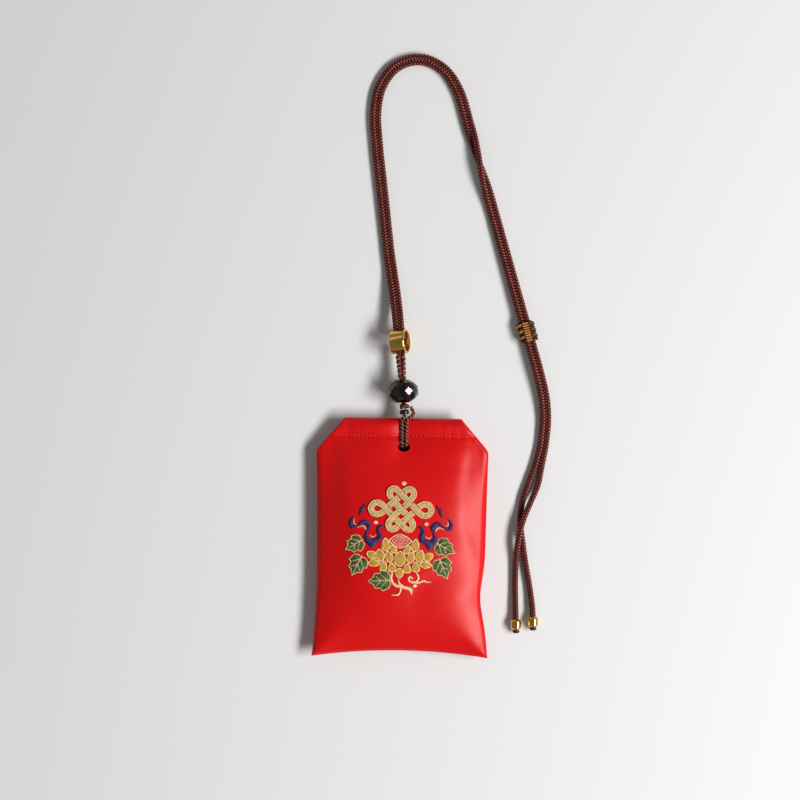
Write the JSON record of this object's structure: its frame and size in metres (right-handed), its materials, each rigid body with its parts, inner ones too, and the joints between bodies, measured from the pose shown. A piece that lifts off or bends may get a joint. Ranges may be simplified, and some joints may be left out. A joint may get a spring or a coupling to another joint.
{
  "type": "amulet pouch",
  "caption": "Flat satin amulet pouch with an embroidered front, hung by a thin string with a faceted bead from a gold barrel on a doubled braided cord with a wound slider and beaded ends.",
  "frame": {"origin": "middle of the pouch's outline, on the surface that the pouch lies on", "axes": "+X to the right across the pouch, +Y up the pouch towards its string, +Z out of its embroidered front"},
  "size_m": [0.0755, 0.1921, 0.01],
  "materials": {
    "red_satin": "satin",
    "wadding": "soft fibre",
    "gold_paper": "foil faced",
    "thin_string": "twisted",
    "dark_glass": "polished",
    "smoky_glass": "faceted and polished",
    "gold_metal": "polished",
    "brown_cord": "braided",
    "gold_thread": "wound",
    "sealed_tip": "melted"
  },
  "bodies": {
    "strap": {"strap_cord_a": "brown_cord", "strap_cord_b": "brown_cord", "strap_knot": "brown_cord", "connector_barrel": "gold_metal", "end_bead_a": "gold_metal", "end_bead_b": "gold_metal", "cord_tip_a": "sealed_tip", "cord_tip_b": "sealed_tip"},
    "slider": {"slider_sleeve": "brown_cord", "slider_winding": "gold_thread"},
    "charm": {"front_panel": "red_satin", "back_panel": "red_satin", "embroidery_backing": "wadding", "front_wadding": "wadding", "back_wadding": "wadding", "amulet_card": "gold_paper", "back_knot": "thin_string", "hanger_leg_left": "thin_string", "hanger_leg_right": "thin_string", "stopper_knot": "thin_string", "string_core": "thin_string", "string_braid": "thin_string"},
    "crystal": {"crystal_bead": "smoky_glass"},
    "seed": {"seed_bead": "dark_glass"}
  },
  "joints": [
    {"name": "slider_slide", "type": "slide", "parent": "strap", "child": "slider", "axis": [-0.2845, 0.9582, -0.0288], "range_m": [-0.006, 0.034]},
    {"name": "charm_swivel", "type": "hinge", "parent": "strap", "child": "charm", "pos_m": [-0.00144, 0.06206, 0.00505], "axis": [-0.0819, 0.9966, 0], "continuous": true},
    {"name": "crystal_spin", "type": "hinge", "parent": "charm", "child": "crystal", "pos_m": [-0.00015, 0.04637, 0.00505], "axis": [-0.0819, 0.9966, 0], "continuous": true},
    {"name": "seed_spin", "type": "hinge", "parent": "charm", "child": "seed", "pos_m": [0.00039, 0.03979, 0.00505], "axis": [-0.0819, 0.9966, 0], "continuous": true}
  ]
}
